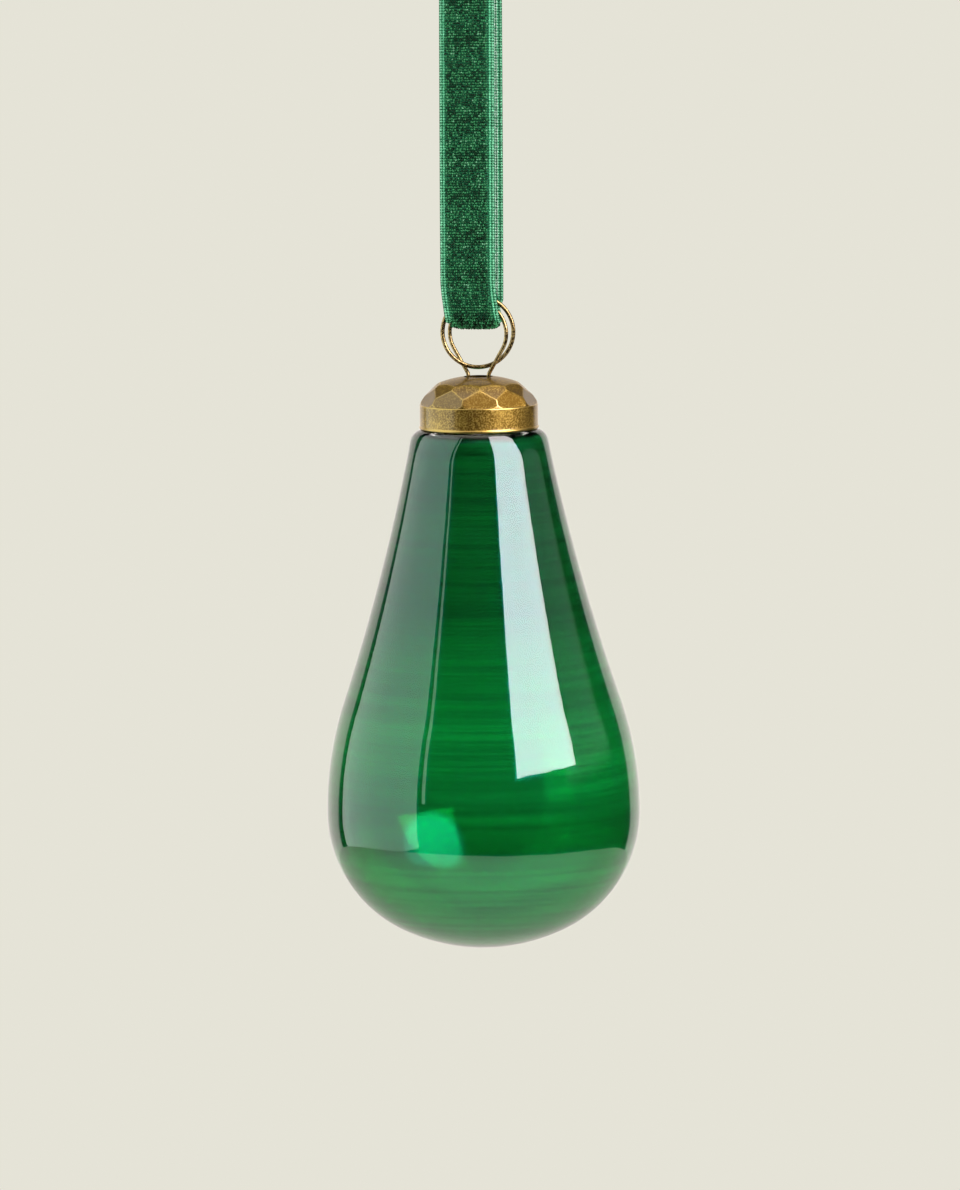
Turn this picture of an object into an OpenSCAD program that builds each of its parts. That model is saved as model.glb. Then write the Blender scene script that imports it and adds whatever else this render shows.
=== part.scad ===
// Glass pear ornament on a velvet ribbon loop.
// Millimetres, +Z up. The origin is where the ribbon loop lies on whatever holds it.
// The ribbon's width runs along X, and its front strand is on the -Y side.

/* [Ribbon] */
// Width of the velvet ribbon
ribbon_w = 10; // [8:0.5:12]
// Thickness of the ribbon with its pile
ribbon_t = 1; // [0.8:0.05:1.2]
// Hang point down to the inside of the lower fold
loop_drop = 66; // [50:1:90]
// Inside radius of the arch at the hang point
arch_r = 3.5; // [3:0.25:6]
// Inside radius of the lower fold
fold_r = 2.1; // [1.8:0.1:3]
// Length of the lapped and sewn ends
lap_len = 11; // [8:0.5:14]
// Diameter of the sewing thread
thread_d = 0.4; // [0.3:0.05:0.5]
// Length of one stitch
stitch_len = 1.5; // [1.2:0.1:1.8]

/* [Ring] */
// Outside diameter of the ring
ring_od = 13.3; // [12.8:0.1:16]
// Diameter of the ring's wire
ring_wire_d = 0.75; // [0.6:0.05:0.9]
// Gap left where the ring's ends meet
ring_slit = 0.12; // [0.05:0.01:0.3]

/* [Hanger] */
// Diameter of the hanger's wire
wire_d = 0.7; // [0.6:0.05:0.9]
// Width of the hanger's eye over the wire
eye_w = 11.5; // [10.8:0.1:12.4]
// Distance between the two legs' corners at the cap
waist_w = 3.3; // [2.8:0.1:3.8]
// Bend radius where the legs pass the cap
waist_bend = 1.6; // [1:0.1:2]
// Bend radius of the knees inside the neck
knee_bend = 2; // [1:0.1:3]
// Length of the tips below the knees
tip_len = 5; // [3:0.5:8]

/* [Cap] */
// Diameter of the cap's band
cap_d = 21; // [20:0.1:24]
// Height of the plain band
band_h = 4.1; // [3.6:0.1:6]
// Height of the dome above the band
dome_h = 5.3; // [4.8:0.1:6.5]
// Radius of the dome's shoulder
dome_shoulder_r = 4; // [3.5:0.1:4.6]
// Thickness of the stamped sheet
cap_wall = 0.45; // [0.35:0.05:0.6]
// Radius of the curled lip at the band's lower edge
lip_r = 0.28; // [0.25:0.01:0.4]
// Facets in each of the dome's two rows
facets = 10; // [8:1:12]
// Depth of the lower row of facets
low_facet = 0.7; // [0.5:0.05:0.9]
// Depth of the upper row of facets
high_facet = 0.55; // [0.4:0.05:0.7]

/* [Glass] */
// Largest diameter of the glass
glass_d = 56; // [50:1:64]
// Height of the glass from its foot to its shoulder
glass_h = 93; // [84:1:115]
// Height of the widest place above the foot
belly_h = 24.4; // [20:0.2:30]
// Radius of the curve above the widest place
belly_top_r = 63; // [55:1:75]
// Radius of the hollow curve of the flank
flank_r = 386; // [250:1:600]
// Diameter of the shoulder below the cap
shoulder_d = 24.6; // [24:0.2:27]
// Radius of the shoulder's rounding
shoulder_round = 2.5; // [2:0.1:3]
// Outside diameter of the neck
neck_d = 18.4; // [17:0.1:19]
// Height of the neck above the shoulder
neck_h = 3.3; // [2.6:0.1:3.6]
// Thickness of the glass
glass_wall = 1.3; // [0.8:0.05:1.6]

/* [Fits] */
// Gap between the gathered fold and the hanger's eye
fold_gap = 0.2; // [0.1:0.01:0.3]
// Height of the fold's inside above the middle of the eye
fold_seat = 1.9; // [1.6:0.1:2.2]
// Gap between the ring and the top of the cap
ring_gap = 1.1; // [0.6:0.1:2]
// Gap round the legs in the cap's hole
hole_gap = 0.25; // [0.15:0.05:0.4]
// Gap between the knees and the neck's bore
knee_gap = 0.25; // [0.15:0.05:0.5]
// Gap between the cap's lip and the glass shoulder
seat_gap = 0.05; // [0.02:0.01:0.1]

/* [Hidden] */
$fn = 96;
tiny = 0.01;
fuse_len = 0.04;
fuse_thin = 0.006;

// The ring and the eye stand turned to either side of the ribbon, so that they link
ring_yaw = 11;
eye_yaw = -11;
cap_turn = 30;

// Ribbon levels
arch_z = -arch_r;
fold_z = -loop_drop + fold_r;
fold_floor = -loop_drop;
lap_start = 4;

// Hanger levels
eye_r = (eye_w - wire_d) / 2;
eye_z = fold_floor - fold_seat;
fold_half = sqrt(pow(eye_r - wire_d / 2, 2) - pow(fold_seat + 0.2, 2)) * cos(eye_yaw) - fold_gap;

// Ring levels
ring_r = (ring_od - ring_wire_d) / 2;
ring_z = eye_z + 0.2;

// Cap levels
cap_r = cap_d / 2;
cap_top = ring_z - ring_od / 2 - ring_gap;
ridge_z = cap_top - dome_h;
cap_foot = ridge_z - band_h;
plate_z = cap_top - cap_wall / 2;
hole_r = waist_w / 2 + waist_bend * 0.22 + wire_d / 2 + hole_gap;

// Dome arcs: a tight shoulder and a wide crown that share a tangent
land_h = 0.3;
land_step = 0.12;
dome_r = cap_r - land_step;
dome_mid = dome_r - dome_shoulder_r;
crown_gain = dome_h - dome_shoulder_r;
crown_drop = (pow(dome_mid, 2) - pow(crown_gain, 2)) / (2 * crown_gain);
crown_r = crown_drop + dome_h;
low_tilt = 32;
high_tilt = 50;

// Glass levels
shoulder_z = cap_foot - seat_gap;
glass_foot = shoulder_z - glass_h;
bore_r = neck_d / 2 - glass_wall;

// Glass outline: the centres of five arcs that share tangents
glass_r = glass_d / 2;
bowl_turn = 63;
bowl_step = (glass_r - belly_h) / (sin(bowl_turn) + cos(bowl_turn) - 1);
belly_r = glass_r - bowl_step * cos(bowl_turn);
foot_r = belly_r + bowl_step;
foot_c = [0, foot_r];
belly_c = [glass_r - belly_r, belly_h];
upper_c = [glass_r - belly_top_r, belly_h];
round_c = [shoulder_d / 2 - shoulder_round, glass_h - shoulder_round];
flank_c = outer_centre(upper_c, belly_top_r + flank_r, round_c, shoulder_round + flank_r);

// Knees and tips of the hanger, measured from the middle of the eye
waist_pt = [waist_w / 2, plate_z - eye_z];
knee_pt = [bore_r - knee_gap - wire_d / 2, shoulder_z + 0.5 - eye_z];
tip_pt = knee_pt + [-1, -tip_len];

function unit(v) = v / norm(v);
function heading(a) = [cos(a), sin(a)];

// Where two circles about p and q cross, on the right hand of the way from p to q
function outer_centre(p, rp, q, rq) =
    let (d = norm(q - p), u = (q - p) / d)
    let (along = (d * d + rp * rp - rq * rq) / (2 * d))
    let (aside = sqrt(rp * rp - along * along))
    p + u * along + [u[1], -u[0]] * aside;

// Where the line from p touches a circle about the origin on its right-hand side
function touch_point(p, r) =
    let (d = norm(p), back = atan2(-p[1], -p[0]), half = asin(r / d))
    p + heading(back - half) * sqrt(d * d - r * r);

// A wire along straight runs, with a rounded bend at each inner corner.
// The runs are a hair thinner than the bends and reach into them, so that they fuse.
module bent_wire(points, bends, d) {
    last = len(points) - 1;
    cut = [for (i = [0:last]) (i == 0 || i == last) ? 0 : bend_cut(points, i, bends[i - 1])];
    for (i = [0:last - 1]) {
        run = unit(points[i + 1] - points[i]);
        rod(points[i] + run * (cut[i] - fuse_len), points[i + 1] - run * (cut[i + 1] - fuse_len), d - fuse_thin);
    }
    for (i = [1:last - 1]) {
        bend(points[i - 1], points[i], points[i + 1], bends[i - 1], d);
    }
}

function corner_angle(a, b, c) = acos(unit(a - b) * unit(c - b));
function bend_cut(p, i, r) = r / tan(corner_angle(p[i - 1], p[i], p[i + 1]) / 2);

module rod(p, q, d) {
    translate([p[0], p[1], 0])
        rotate([0, 0, atan2(q[1] - p[1], q[0] - p[0])])
            rotate([0, 90, 0])
                cylinder(d = d, h = norm(q - p));
}

module bend(a, b, c, r, d) {
    inner = corner_angle(a, b, c);
    mid = b + unit(unit(a - b) + unit(c - b)) * r / sin(inner / 2);
    away = unit(b - mid);
    start = atan2(away[1], away[0]) - (180 - inner) / 2;
    translate([mid[0], mid[1], 0])
        rotate([0, 0, start])
            rotate_extrude(angle = 180 - inner)
                translate([r, 0])
                    circle(d = d);
}

// The ribbon's loop from the side, as a belt round the arch and the fold
module loop_side(grow) {
    lean = asin((arch_r - fold_r) / (arch_z - fold_z));
    n = [cos(lean), -sin(lean)];
    m = [-cos(lean), -sin(lean)];
    low = [0, fold_z];
    high = [0, arch_z];
    translate(low)
        circle(r = fold_r + grow);
    translate(high)
        circle(r = arch_r + grow);
    // The strands cut a hair into both arcs, so that they fuse
    strand = grow - fuse_thin;
    polygon([
        low + n * (fold_r + strand),
        high + n * (arch_r + strand),
        high + m * (arch_r + strand),
        low + m * (fold_r + strand)
    ]);
}

// The lapped end from the side, on the back of the arch
module lap_side() {
    turn = lap_len / (arch_r + 1.5 * ribbon_t) * 180 / PI;
    far = 3 * (arch_r + 2 * ribbon_t);
    translate([0, arch_z])
        intersection() {
            difference() {
                circle(r = arch_r + 2 * ribbon_t);
                circle(r = arch_r + ribbon_t - tiny);
            }
            polygon([[0, 0], far * heading(lap_start), far * heading(lap_start + turn / 2),
                far * heading(lap_start + turn)]);
        }
}

// The ribbon from the front, gathered where it passes through the eye
module loop_front() {
    low = fold_floor - ribbon_t;
    corner = 0.8;
    full = fold_floor + 3.2;
    top = 2 * ribbon_t + 1;
    round_off = [for (a = [0:-15:-75]) [fold_half - corner, low + corner] + corner * heading(a)];
    under = [fold_half - 2 * corner, low - corner];
    side = concat([[ribbon_w / 2, top], [ribbon_w / 2, full], [fold_half, fold_floor + 0.3]], round_off, [under]);
    other = [for (i = [len(side) - 1:-1:0]) [-side[i][0], side[i][1]]];
    polygon(concat(side, other));
}

module velvet_ribbon() {
    color("darkgreen")
        intersection() {
            rotate([90, 0, 90])
                linear_extrude(height = 2 * ribbon_w, center = true) {
                    difference() {
                        loop_side(ribbon_t);
                        loop_side(0);
                    }
                    lap_side();
                }
            rotate([90, 0, 0])
                linear_extrude(height = 60, center = true)
                    loop_front();
        }
}

// One stitch through both layers of the lap, as a link of thread
module stitch() {
    half = stitch_len / 2;
    rise = ribbon_t + thread_d * 0.2;
    round = thread_d * 0.7;
    bent_wire(
        [[0, -rise], [half, -rise], [half, rise], [-half, rise], [-half, -rise], [0, -rise]],
        [round, round, round, round],
        thread_d);
}

module seam_thread() {
    turn = lap_len / (arch_r + 1.5 * ribbon_t) * 180 / PI;
    pitch = ribbon_w / 4.5;
    color("seagreen")
        for (a = [lap_start + 12, lap_start + turn - 12], i = [0:3])
            translate([(i - 1.5) * pitch, 0, arch_z])
                rotate([a - 90, 0, 0])
                    translate([0, 0, arch_r + ribbon_t])
                        rotate([90, 0, 0])
                            stitch();
}

module hanging_ring() {
    color("goldenrod")
        translate([0, 0, ring_z])
            rotate([0, 0, ring_yaw])
                rotate([90, 0, 0])
                    difference() {
                        rotate_extrude()
                            translate([ring_r, 0])
                                circle(d = ring_wire_d);
                        translate([-ring_slit / 2, 0, -ring_wire_d])
                            cube([ring_slit, ring_od, 2 * ring_wire_d]);
                    }
}

// One leg: from the eye down through the cap, out to the knee, in to the tip
module leg() {
    bent_wire([touch_point(waist_pt, eye_r), waist_pt, knee_pt, tip_pt], [waist_bend, knee_bend], wire_d);
    translate([tip_pt[0], tip_pt[1], 0])
        sphere(d = wire_d * 1.1);
}

module hanger_wire() {
    touch = touch_point(waist_pt, eye_r);
    open = atan2(touch[1], touch[0]);
    color("goldenrod")
        translate([0, 0, eye_z])
            rotate([0, 0, eye_yaw])
                rotate([90, 0, 0]) {
                    rotate([0, 0, open])
                        rotate_extrude(angle = 180 - 2 * open)
                            translate([eye_r, 0])
                                circle(d = wire_d);
                    leg();
                    mirror([1, 0, 0])
                        leg();
                }
}

// The dome's half outline above the ridge, moved inward by inset
module dome_outline(inset) {
    far = 2 * crown_r;
    intersection() {
        translate([0, -inset])
            square([cap_r + 1, dome_h + 1 + inset]);
        union() {
            translate([dome_mid, 0])
                circle(r = dome_shoulder_r - inset);
            intersection() {
                translate([0, -crown_drop])
                    circle(r = crown_r - inset);
                polygon([[0, -crown_drop], [0, far], far * unit([dome_mid, crown_drop]) - [0, crown_drop]]);
            }
        }
    }
}

// A cone of flat facets, moved inward by inset, whose faces lean in by tilt
module facet_cone(turn, tilt, depth, inset) {
    reach = dome_shoulder_r - depth - inset;
    flat_at = dome_mid + reach / cos(tilt);
    top = dome_h + 1;
    corner = 1 / cos(180 / facets);
    rotate([0, 0, turn + 180 / facets])
        translate([0, 0, -1])
            cylinder(
                r1 = (flat_at + tan(tilt)) * corner,
                r2 = (flat_at - top * tan(tilt)) * corner,
                h = top + 1,
                $fn = facets);
}

// The stamped face of the cap as a solid, moved inward by inset
module stamped_form(inset, below) {
    intersection() {
        rotate_extrude()
            dome_outline(inset);
        facet_cone(cap_turn, low_tilt, low_facet, inset);
        facet_cone(cap_turn + 180 / facets, high_tilt, high_facet, inset);
    }
    translate([0, 0, -band_h - below])
        cylinder(r = cap_r - inset, h = band_h + below + land_h - inset);
}

module cap() {
    color("darkgoldenrod")
        translate([0, 0, ridge_z]) {
            difference() {
                stamped_form(0, 0);
                stamped_form(cap_wall, 1);
                cylinder(r = hole_r, h = dome_h + 1);
            }
            translate([0, 0, -band_h + lip_r])
                rotate_extrude()
                    translate([cap_r - cap_wall + lip_r + 0.05, 0])
                        circle(r = lip_r);
        }
}

// A slice of a round arc about its centre, between two headings
module arc_slice(c, r, a, b) {
    intersection() {
        translate(c)
            circle(r = r);
        polygon([c, c + 1.6 * r * heading(a), c + 1.6 * r * heading(b)]);
    }
}

// The pear's half outline below the shoulder, moved inward by inset
module pear_outline(inset) {
    bowl_dir = heading(-bowl_turn);
    upper_dir = unit(flank_c - upper_c);
    round_dir = unit(flank_c - round_c);
    upper_turn = atan2(upper_dir[1], upper_dir[0]);
    round_turn = atan2(round_dir[1], round_dir[0]);
    intersection() {
        square([glass_d, 2 * glass_h]);
        difference() {
            union() {
                polygon([
                    [0, inset],
                    belly_c + bowl_dir * (belly_r - inset),
                    [glass_r - inset, belly_h],
                    upper_c + upper_dir * (belly_top_r - inset),
                    round_c + round_dir * (shoulder_round - inset),
                    [round_c[0], glass_h - inset],
                    [0, glass_h - inset]
                ]);
                arc_slice(foot_c, foot_r - inset, -90, -bowl_turn);
                arc_slice(belly_c, belly_r - inset, -bowl_turn, 0);
                arc_slice(upper_c, belly_top_r - inset, 0, upper_turn);
                arc_slice(round_c, shoulder_round - inset, round_turn, 90);
            }
            translate(flank_c)
                circle(r = flank_r + inset);
        }
    }
}

module glass_body() {
    lip = glass_wall / 2;
    color("seagreen", 0.6)
        translate([0, 0, glass_foot])
            rotate_extrude() {
                difference() {
                    union() {
                        pear_outline(0);
                        translate([0, glass_h - shoulder_round])
                            square([neck_d / 2, shoulder_round + neck_h - lip]);
                    }
                    pear_outline(glass_wall);
                    translate([0, glass_h - 2 * glass_wall])
                        square([bore_r, neck_h + 4 * glass_wall]);
                }
                translate([neck_d / 2 - lip, glass_h + neck_h - lip])
                    circle(r = lip);
            }
}

velvet_ribbon();
seam_thread();
hanging_ring();
hanger_wire();
cap();
glass_body();
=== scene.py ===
# %% [markdown]
# A blown glass pear hangs from a velvet ribbon by a sprung wire, a ring and a stamped cap.
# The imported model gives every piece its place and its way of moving. This lesson dresses that
# model: it keeps the wires as they are, and makes the glass, the cap and the ribbon again as
# finer meshes that stand exactly where their solids stand.

import math
import random

import bpy
from mathutils import Matrix, Vector, noise


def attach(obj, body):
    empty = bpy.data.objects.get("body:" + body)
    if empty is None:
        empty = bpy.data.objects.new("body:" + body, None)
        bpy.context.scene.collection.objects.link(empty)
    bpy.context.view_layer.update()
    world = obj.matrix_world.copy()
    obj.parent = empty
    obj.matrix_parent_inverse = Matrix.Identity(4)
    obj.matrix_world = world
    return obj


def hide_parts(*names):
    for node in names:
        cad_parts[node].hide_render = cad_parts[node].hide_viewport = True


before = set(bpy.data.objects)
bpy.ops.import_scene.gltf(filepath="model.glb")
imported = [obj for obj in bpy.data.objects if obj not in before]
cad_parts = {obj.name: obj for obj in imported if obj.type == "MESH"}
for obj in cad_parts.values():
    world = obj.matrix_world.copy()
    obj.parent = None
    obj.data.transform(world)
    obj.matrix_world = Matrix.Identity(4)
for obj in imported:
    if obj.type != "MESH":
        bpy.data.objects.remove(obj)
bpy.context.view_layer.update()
MM = 0.001

# %% [markdown]
# The photograph was taken from a long way off with a long lens, a little above the cap and a
# little to the right of the ribbon's flat face. The numbers below came from matching the widest
# place of the glass, its foot, the cap's two rims and the ring to their places in the picture.
# The picture is upright, so the sensor's 36 mm lie along its height.

# %% Camera
CAMERA_TURN = math.radians(11)
CAMERA_RISE = math.radians(6.98)
CAMERA_ROLL = math.radians(-0.68)
CAMERA_REACH = 1.2
AIM_HEIGHT = -114.7 * MM
AIM_ASIDE = -0.19 * MM
SENSOR_MM, LENS_MM = 36, 203.84

to_camera = Vector((math.sin(CAMERA_TURN) * math.cos(CAMERA_RISE),
                    -math.cos(CAMERA_TURN) * math.cos(CAMERA_RISE),
                    math.sin(CAMERA_RISE)))
level_right = Vector((math.cos(CAMERA_TURN), math.sin(CAMERA_TURN), 0))
level_up = to_camera.cross(level_right)
right = math.cos(CAMERA_ROLL) * level_right + math.sin(CAMERA_ROLL) * level_up
up = math.cos(CAMERA_ROLL) * level_up - math.sin(CAMERA_ROLL) * level_right

camera = bpy.data.objects.new("camera", bpy.data.cameras.new("camera"))
camera.data.sensor_width = SENSOR_MM
camera.data.lens = LENS_MM
stand = Vector((0, 0, AIM_HEIGHT)) + level_right * AIM_ASIDE + to_camera * CAMERA_REACH
camera_axes = Matrix((right, up, to_camera)).transposed().to_4x4()
camera.matrix_world = Matrix.Translation(stand) @ camera_axes
bpy.context.scene.collection.objects.link(camera)
bpy.context.scene.camera = camera
bpy.context.scene.view_settings.view_transform = "Standard"
print("camera at", [round(v, 3) for v in stand])

# %% [markdown]
# A finish is a small program of nodes. Wiring each one by hand hides the idea, so one class wraps
# a socket and lets Python's own operators add the Math nodes, and one method adds any other node:
# first its settings, then the values or links of its sockets.

# %% Shader maths
class Link:
    """One output of a node. Arithmetic on it adds Math nodes to the same tree."""

    def __init__(self, nodes, socket):
        self.nodes = nodes
        self.socket = socket

    def math(self, operation, *values):
        return self.nodes.node("Math", {"operation": operation}, dict(enumerate(values)))

    def __add__(self, other):
        return self.math("ADD", self, other)

    def __radd__(self, other):
        return self.math("ADD", other, self)

    def __sub__(self, other):
        return self.math("SUBTRACT", self, other)

    def __rsub__(self, other):
        return self.math("SUBTRACT", other, self)

    def __mul__(self, other):
        return self.math("MULTIPLY", self, other)

    def __rmul__(self, other):
        return self.math("MULTIPLY", other, self)

    def step(self, low, high):
        """A smooth climb from 0 at low to 1 at high."""
        return self.nodes.node("MapRange", {"interpolation_type": "SMOOTHSTEP"},
                               {"Value": self, "From Min": low, "From Max": high})


class Nodes:
    """The node tree of a material or of the world, emptied and ready to fill."""

    def __init__(self, owner):
        owner.use_nodes = True
        self.owner = owner
        self.tree = owner.node_tree
        self.tree.nodes.clear()

    def node(self, kind, settings=None, sockets=None, out=0):
        made = self.tree.nodes.new("ShaderNode" + kind)
        for name, value in (settings or {}).items():
            setattr(made, name, value)
        for name, value in (sockets or {}).items():
            if isinstance(value, Link):
                self.tree.links.new(value.socket, made.inputs[name])
            else:
                made.inputs[name].default_value = value
        return Link(self, made.outputs[out]) if made.outputs else made

    def blend(self, share, first, second):
        """A colour between two. A Mix node keeps its pair of colours in the sockets 6 and 7."""
        return self.node("Mix", {"data_type": "RGBA"}, {0: share, 6: first, 7: second}, out=2)

    def grain(self, place, scale, detail=2.0):
        return self.node("TexNoise", {}, {"Vector": place, "Scale": scale, "Detail": detail})

    def place(self, stretch=(1, 1, 1)):
        """The point on the piece in millimetres, stretched along each axis."""
        spot = self.node("TexCoord", out="Object")
        scale = [1000 * s for s in stretch]
        return self.node("VectorMath", {"operation": "MULTIPLY"}, {0: spot, 1: scale})

    def level(self):
        """The height of the point on the piece in millimetres."""
        return self.node("SeparateXYZ", {}, {0: self.place()}, out="Z")

    def along(self, spot, way):
        """How far a point lies along a heading."""
        return self.node("VectorMath", {"operation": "DOT_PRODUCT"}, {0: spot, 1: way}, out="Value")

    def attribute(self, name):
        """A number that the mesh carries at each of its points."""
        return self.node("Attribute", {"attribute_name": name}, out="Fac")

    def bump(self, height, strength, depth_mm):
        return self.node("Bump", {}, {"Height": height, "Strength": strength, "Distance": depth_mm * MM})

    def surface(self, shader):
        self.node("OutputMaterial", {}, {"Surface": shader})
        return self.owner


def finish_nodes(name):
    return Nodes(bpy.data.materials.new(name))


def rgb(red, green, blue):
    return (red, green, blue, 1.0)


# %% [markdown]
# Glass and brass look like what they mirror, so the studio is half of this picture. The wall
# behind is warm white, the right wall is grey, the ceiling is bright straight overhead, and the
# side of the camera is dark. All of it is one world background that is blended by heading. The
# camera itself always sees the plain wall colour.

# %% Studio walls
WALL = rgb(0.784, 0.769, 0.680)
WALL_SIDES = rgb(1.15, 1.07, 1.0)
DARK_SIDE = rgb(0.012, 0.012, 0.012)
RIGHT_WALL = rgb(0.40, 0.44, 0.46)
CEILING = rgb(2.6, 2.4, 2.05)
CLOTH_FILL = rgb(0.42, 0.42, 0.40)
WALL_TURN, RIGHT_TURN = math.radians(181.5), math.radians(90)
WALL_EDGE, CEILING_EDGE = (0.69, 0.735), (0.82, 0.97)
RIGHT_EDGE, RIGHT_FOOT = (0.88, 0.93), (0.02, 0.16)


def aside_of_camera(turn):
    """A level heading, turned to the right from the photograph's own direction."""
    return Vector((math.sin(CAMERA_TURN + turn), -math.cos(CAMERA_TURN + turn), 0))


world = bpy.data.worlds.new("studio")
bpy.context.scene.world = world
walls = Nodes(world)
looking = walls.node("TexCoord", out="Generated")
rise = walls.node("SeparateXYZ", {}, {0: looking}, out="Z")
behind = walls.along(looking, aside_of_camera(WALL_TURN)).step(*WALL_EDGE)
beside = walls.along(looking, aside_of_camera(RIGHT_TURN)).step(*RIGHT_EDGE) * rise.step(*RIGHT_FOOT)
mirrored = walls.blend(beside, DARK_SIDE, RIGHT_WALL)
mirrored = walls.blend(rise.step(*CEILING_EDGE), mirrored, CEILING)
wall_seen = walls.blend(walls.node("LightPath", out="Is Glossy Ray"), WALL, WALL_SIDES)
mirrored = walls.blend(behind, mirrored, wall_seen)
lit_cloth = walls.blend(walls.node("LightPath", out="Is Diffuse Ray"), mirrored, CLOTH_FILL)
shown = walls.blend(walls.node("LightPath", out="Is Camera Ray"), lit_cloth, WALL)
glow = walls.node("Background", {}, {"Color": shown, "Strength": 1.0})
walls.node("OutputWorld", {}, {"Surface": glow})
print("walls:", len(walls.tree.nodes), "nodes")

# %% [markdown]
# A tall soft box stands to the right of the camera, and a dimmer panel with a narrow trim fills the
# left side. Both are mirrored at their full brightness. Softer lamps just behind them light the
# cloth, so that its colours come out as they are written. Each lamp says which rays may see it.

# %% Lamps
def soft_box(name, turn, reach, width, low, high, radiance, sees, tint=(1, 1, 1)):
    """An upright soft box that faces the glass, between two heights. Three kinds of ray may see it."""
    away = aside_of_camera(math.radians(turn))
    data = bpy.data.lights.new(name, "AREA")
    data.shape = "RECTANGLE"
    data.size, data.size_y = width, high - low
    data.energy = radiance * math.pi * width * (high - low)
    data.color = tint
    box = bpy.data.objects.new(name, data)
    box.location = away * reach + Vector((0, 0, (low + high) / 2))
    box.rotation_euler = away.to_track_quat("Z", "Y").to_euler()
    box.visible_camera = False
    box.visible_diffuse = "cloth" in sees
    box.visible_glossy = "mirror" in sees
    box.visible_transmission = "glass" in sees
    bpy.context.scene.collection.objects.link(box)


soft_box("tall_box", 49.5, 1.1, 1.0, 0.026, 2.5, 12.9, "mirror glass", (1.0, 0.93, 0.95))
soft_box("left_panel", -87.75, 1.0, 1.577, -0.62, 1.9, 2.1, "mirror glass", (0.97, 1.04, 1.0))
soft_box("panel_trim", -44.25, 1.0, 0.044, -0.15, 1.7, 2.15, "mirror glass")
soft_box("cloth_key", 49.5, 1.32, 1.2, 0.038, 1.74, 2.6, "cloth")
soft_box("cloth_left", -87, 1.2, 2.32, -0.28, 1.56, 0.5, "cloth")

# %% [markdown]
# A round white table lies far below, and its edge is the level line across the belly of the glass.
# It glows by itself, a little brighter on the near side, and the camera sees it in the wall's
# colour, so that floor and wall run into each other.

# %% Table
TABLE_DROP, TABLE_R, TABLE_SIDES = -0.46, 0.80, 96
TABLE_BACK, TABLE_ASIDE, TABLE_FADE = 0.195, -0.05, (-0.25, 0.3)
TABLE_NEAR, TABLE_FAR = rgb(1.3, 1.3, 1.25), rgb(0.87, 0.78, 0.74)

table_rim = []
for i in range(TABLE_SIDES):
    turn = math.tau * i / TABLE_SIDES
    table_rim.append((TABLE_R * math.cos(turn), TABLE_R * math.sin(turn), 0))
table_mesh = bpy.data.meshes.new("table")
table_mesh.from_pydata(table_rim, [], [tuple(range(TABLE_SIDES))])
table = bpy.data.objects.new("table", table_mesh)
table.location = aside_of_camera(math.pi) * TABLE_BACK + level_right * TABLE_ASIDE
table.location.z = TABLE_DROP
bpy.context.scene.collection.objects.link(table)

cover = finish_nodes("table_cover")
toward = cover.along(cover.node("TexCoord", out="Object"), aside_of_camera(0))
near_side = toward.step(TABLE_BACK + TABLE_FADE[0], TABLE_BACK + TABLE_FADE[1])
lit = cover.node("Emission", {}, {"Color": cover.blend(near_side, TABLE_FAR, TABLE_NEAR), "Strength": 1.0})
plain = cover.node("Emission", {}, {"Color": WALL, "Strength": 1.0})
to_eye = cover.node("LightPath", out="Is Camera Ray")
table_mesh.materials.append(cover.surface(cover.node("MixShader", {}, {0: to_eye, 1: lit, 2: plain})))
print("table:", TABLE_SIDES, "sides")

# %% [markdown]
# Every piece below is a list of points and faces worked out from a few sizes, so one helper turns
# such lists into an object, smooths its shading except at true corners, and makes it ride on the
# body that carries it.

# %% Mesh helpers
def make_piece(name, points, faces, finishes, body, corner=50, face_finish=None):
    """One object that rides on a body. Edges that bend more than the corner stay crisp."""
    mesh = bpy.data.meshes.new(name)
    mesh.from_pydata(points, [], faces)
    for finish in finishes:
        mesh.materials.append(finish)
    if face_finish is not None:
        mesh.polygons.foreach_set("material_index", face_finish)
    mesh.shade_smooth()
    mesh.set_sharp_from_angle(angle=math.radians(corner))
    piece = bpy.data.objects.new(name, mesh)
    bpy.context.scene.collection.objects.link(piece)
    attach(piece, body)
    return piece


def point_values(piece, name, values):
    """Gives every point of a piece a number that its finish can read."""
    piece.data.attributes.new(name, "FLOAT", "POINT").data.foreach_set("value", values)


def heading(degrees):
    return Vector((math.cos(math.radians(degrees)), math.sin(math.radians(degrees))))


def arc(centre, radius, start, stop, steps):
    """Points on a round arc in the outline's own plane, ends included."""
    return [centre + heading(start + (stop - start) * i / steps) * radius for i in range(steps + 1)]


def revolve(outline, sides):
    """Points and faces of an outline of (radius, height) turned about Z, closed where it meets Z."""
    points, rows, faces = [], [], []
    for radius, height in outline:
        if radius < 1e-9:
            rows.append([len(points)])
            points.append((0, 0, height))
            continue
        rows.append(range(len(points), len(points) + sides))
        for i in range(sides):
            turn = heading(360 * i / sides)
            points.append((radius * turn.x, radius * turn.y, height))
    for lower, upper in zip(rows, rows[1:]):
        for i in range(sides):
            j = (i + 1) % sides
            below = [lower[i % len(lower)], lower[j % len(lower)]]
            above = [upper[j % len(upper)], upper[i % len(upper)]]
            faces.append(tuple(dict.fromkeys(below + above)))
    return points, faces


# %% [markdown]
# The pear is blown clear glass of even thickness. Its outline is five arcs that share tangents:
# foot, belly, the curve above the belly, the hollow flank and the rounded shoulder. Each centre
# follows from the glass's own sizes, and the hollow flank's is where two circles cross.

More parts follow.
